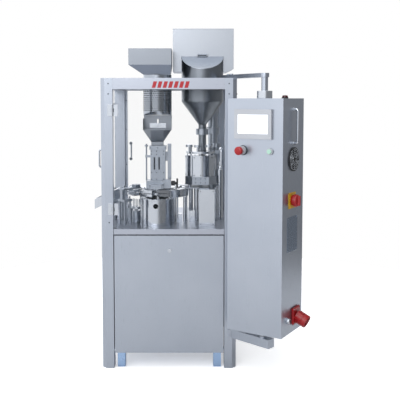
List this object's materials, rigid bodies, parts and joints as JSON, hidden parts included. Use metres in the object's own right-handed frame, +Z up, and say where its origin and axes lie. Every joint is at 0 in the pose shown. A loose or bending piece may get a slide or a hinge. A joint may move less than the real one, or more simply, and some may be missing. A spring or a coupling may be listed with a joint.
{
  "type": "capsule filling machine",
  "caption": "Automatic capsule filler: clear-walled steel frame with hoppers, sorter, indexed turret and dosing station on a closed base, and a swinging control cabinet",
  "frame": {"origin": "bottom centre of the bounding box, on the floor", "axes": "+Z up, the operator side faces -Y, +X to the right of the operator"},
  "size_m": [1.0989, 0.9722, 1.745],
  "materials": {
    "frame_steel": "satin",
    "polished_steel": "polished",
    "mirror_steel": "mirror",
    "machined_aluminium": "machined",
    "cast_housing": "as cast",
    "motor_paint": "semi gloss",
    "clear_acrylic": "clear",
    "black_plastic": "matte",
    "screen_panel": "gloss",
    "red_plastic": "semi gloss",
    "green_lens": "gloss",
    "yellow_plastic": "semi gloss"
  },
  "bodies": {
    "machine": {"posts": "frame_steel", "top_frame": "frame_steel", "table_plate": "polished_steel", "base": "frame_steel", "lower_panels": "frame_steel", "right_window": "clear_acrylic", "hinge_leaves": "polished_steel", "upper_arm": "frame_steel", "lower_arm": "frame_steel", "powder_bin": "mirror_steel", "powder_hopper": "mirror_steel", "support_column": "machined_aluminium", "capsule_hopper": "mirror_steel", "sieve_drum": "mirror_steel", "feed_chute": "mirror_steel", "sorter_frame": "machined_aluminium", "sorter_block": "machined_aluminium", "turret_cover": "polished_steel", "turret_guards": "polished_steel", "station_housings": "machined_aluminium", "discharge_chute": "polished_steel", "dosing_base": "machined_aluminium", "dosing_housing": "polished_steel", "station_columns": "polished_steel", "main_motor": "motor_paint", "indexers": "cast_housing", "vacuum_pump": "cast_housing"},
    "front_door": {"front_door": "clear_acrylic", "front_door_fittings": "polished_steel"},
    "left_door": {"left_door": "clear_acrylic", "left_door_fittings": "polished_steel"},
    "rear_door": {"rear_door": "clear_acrylic", "rear_door_fittings": "polished_steel"},
    "front_panel": {"front_panel": "frame_steel"},
    "panel_lock": {"panel_lock": "black_plastic"},
    "control_cabinet": {"cabinet_shell": "frame_steel", "cabinet_fittings": "polished_steel", "control_bezels": "black_plastic", "hmi_screen": "screen_panel", "isolator_plate": "yellow_plastic", "fan_guard": "black_plastic", "inlet_and_lamp": "red_plastic"},
    "estop": {"estop_head": "red_plastic"},
    "start_button": {"start_button": "green_lens"},
    "isolator": {"isolator_knob": "red_plastic"},
    "fan": {"fan_rotor": "black_plastic"},
    "bin_lid": {"bin_lid": "mirror_steel"},
    "hopper_lid": {"hopper_lid": "mirror_steel"},
    "feed_gate": {"feed_gate": "polished_steel"},
    "magazine": {"capsule_magazine": "machined_aluminium"},
    "clamp_handle": {"clamp_handle": "black_plastic"},
    "camshaft": {"camshaft": "polished_steel"},
    "turret": {"turret_disc": "polished_steel", "segments": "polished_steel"},
    "dosing_disc": {"dosing_disc": "polished_steel"},
    "auger": {"auger_screw": "polished_steel"},
    "tamping_head": {"tamping_head": "polished_steel"},
    "closing_pins": {"closing_pins": "polished_steel"},
    "ejector_pins": {"ejector_pins": "polished_steel"}
  },
  "joints": [
    {"name": "front_door_hinge", "type": "hinge", "parent": "machine", "child": "front_door", "pos_m": [-0.43147, -0.26987, 1.067], "axis": [0, 0, -1], "range_deg": [0, 100]},
    {"name": "left_door_hinge", "type": "hinge", "parent": "machine", "child": "left_door", "pos_m": [-0.49747, 0.39613, 1.067], "axis": [0, 0, -1], "range_deg": [0, 100]},
    {"name": "rear_door_hinge", "type": "hinge", "parent": "machine", "child": "rear_door", "pos_m": [0.12853, 0.46213, 1.067], "axis": [0, 0, -1], "range_deg": [0, 100]},
    {"name": "front_panel_tilt", "type": "hinge", "parent": "machine", "child": "front_panel", "pos_m": [-0.15147, -0.25587, 0.092], "axis": [1, 0, 0], "range_deg": [0, 60]},
    {"name": "panel_lock_turn", "type": "hinge", "parent": "front_panel", "child": "panel_lock", "pos_m": [-0.14747, -0.26387, 0.607], "axis": [0, 1, 0], "range_deg": [0, 90]},
    {"name": "cabinet_swing", "type": "hinge", "parent": "machine", "child": "control_cabinet", "pos_m": [0.31253, -0.38387, 0.8], "axis": [0, 0, -1], "range_deg": [0, 25]},
    {"name": "estop_press", "type": "slide", "parent": "control_cabinet", "child": "estop", "axis": [0.5225, 0.8526, 0], "range_m": [0, 0.0045], "stiffness_N_per_m": 800},
    {"name": "start_press", "type": "slide", "parent": "control_cabinet", "child": "start_button", "axis": [0.5225, 0.8526, 0], "range_m": [0, 0.003], "stiffness_N_per_m": 600},
    {"name": "isolator_turn", "type": "hinge", "parent": "control_cabinet", "child": "isolator", "pos_m": [0.46055, -0.40069, 0.882], "axis": [0.8526, -0.5225, 0], "range_deg": [0, 90]},
    {"name": "fan_spin", "type": "hinge", "parent": "control_cabinet", "child": "fan", "pos_m": [0.44151, -0.37436, 1.08], "axis": [0.8526, -0.5225, 0], "continuous": true},
    {"name": "bin_lid_hinge", "type": "hinge", "parent": "machine", "child": "bin_lid", "pos_m": [-0.00147, 0.32313, 1.7355], "axis": [-1, 0, 0], "range_deg": [0, 80]},
    {"name": "hopper_lid_hinge", "type": "hinge", "parent": "machine", "child": "hopper_lid", "pos_m": [0.02053, 0.02913, 1.607], "axis": [-1, 0, 0], "range_deg": [0, 60]},
    {"name": "feed_gate_slide", "type": "slide", "parent": "machine", "child": "feed_gate", "axis": [0, 0, 1], "range_m": [0, 0.03]},
    {"name": "magazine_slide", "type": "slide", "parent": "machine", "child": "magazine", "axis": [0, 0, 1], "range_m": [0, 0.01]},
    {"name": "clamp_turn", "type": "hinge", "parent": "machine", "child": "clamp_handle", "pos_m": [-0.13147, -0.05887, 0.925], "axis": [1, 0, 0], "range_deg": [0, 180]},
    {"name": "camshaft_spin", "type": "hinge", "parent": "machine", "child": "camshaft", "pos_m": [-0.15147, 0.08113, 0.29], "axis": [1, 0, 0], "continuous": true},
    {"name": "turret_spin", "type": "hinge", "parent": "machine", "child": "turret", "pos_m": [-0.22447, 0.05613, 0.86], "axis": [0, 0, 1], "continuous": true},
    {"name": "dosing_disc_spin", "type": "hinge", "parent": "machine", "child": "dosing_disc", "pos_m": [0.01053, 0.03613, 0.9], "axis": [0, 0, 1], "continuous": true},
    {"name": "auger_spin", "type": "hinge", "parent": "machine", "child": "auger", "pos_m": [0.02053, 0.03613, 1.2], "axis": [0, 0, 1], "continuous": true},
    {"name": "tamping_slide", "type": "slide", "parent": "machine", "child": "tamping_head", "axis": [0, 0, 1], "range_m": [0, 0.02]},
    {"name": "closing_slide", "type": "slide", "parent": "machine", "child": "closing_pins", "axis": [0, 0, 1], "range_m": [0, 0.015]},
    {"name": "ejector_slide", "type": "slide", "parent": "machine", "child": "ejector_pins", "axis": [0, 0, 1], "range_m": [0, 0.015]}
  ],
  "couplings": [
    {"joint": "turret_spin", "follows": "camshaft_spin", "ratio": 0.1},
    {"joint": "dosing_disc_spin", "follows": "camshaft_spin", "ratio": -0.16667}
  ]
}
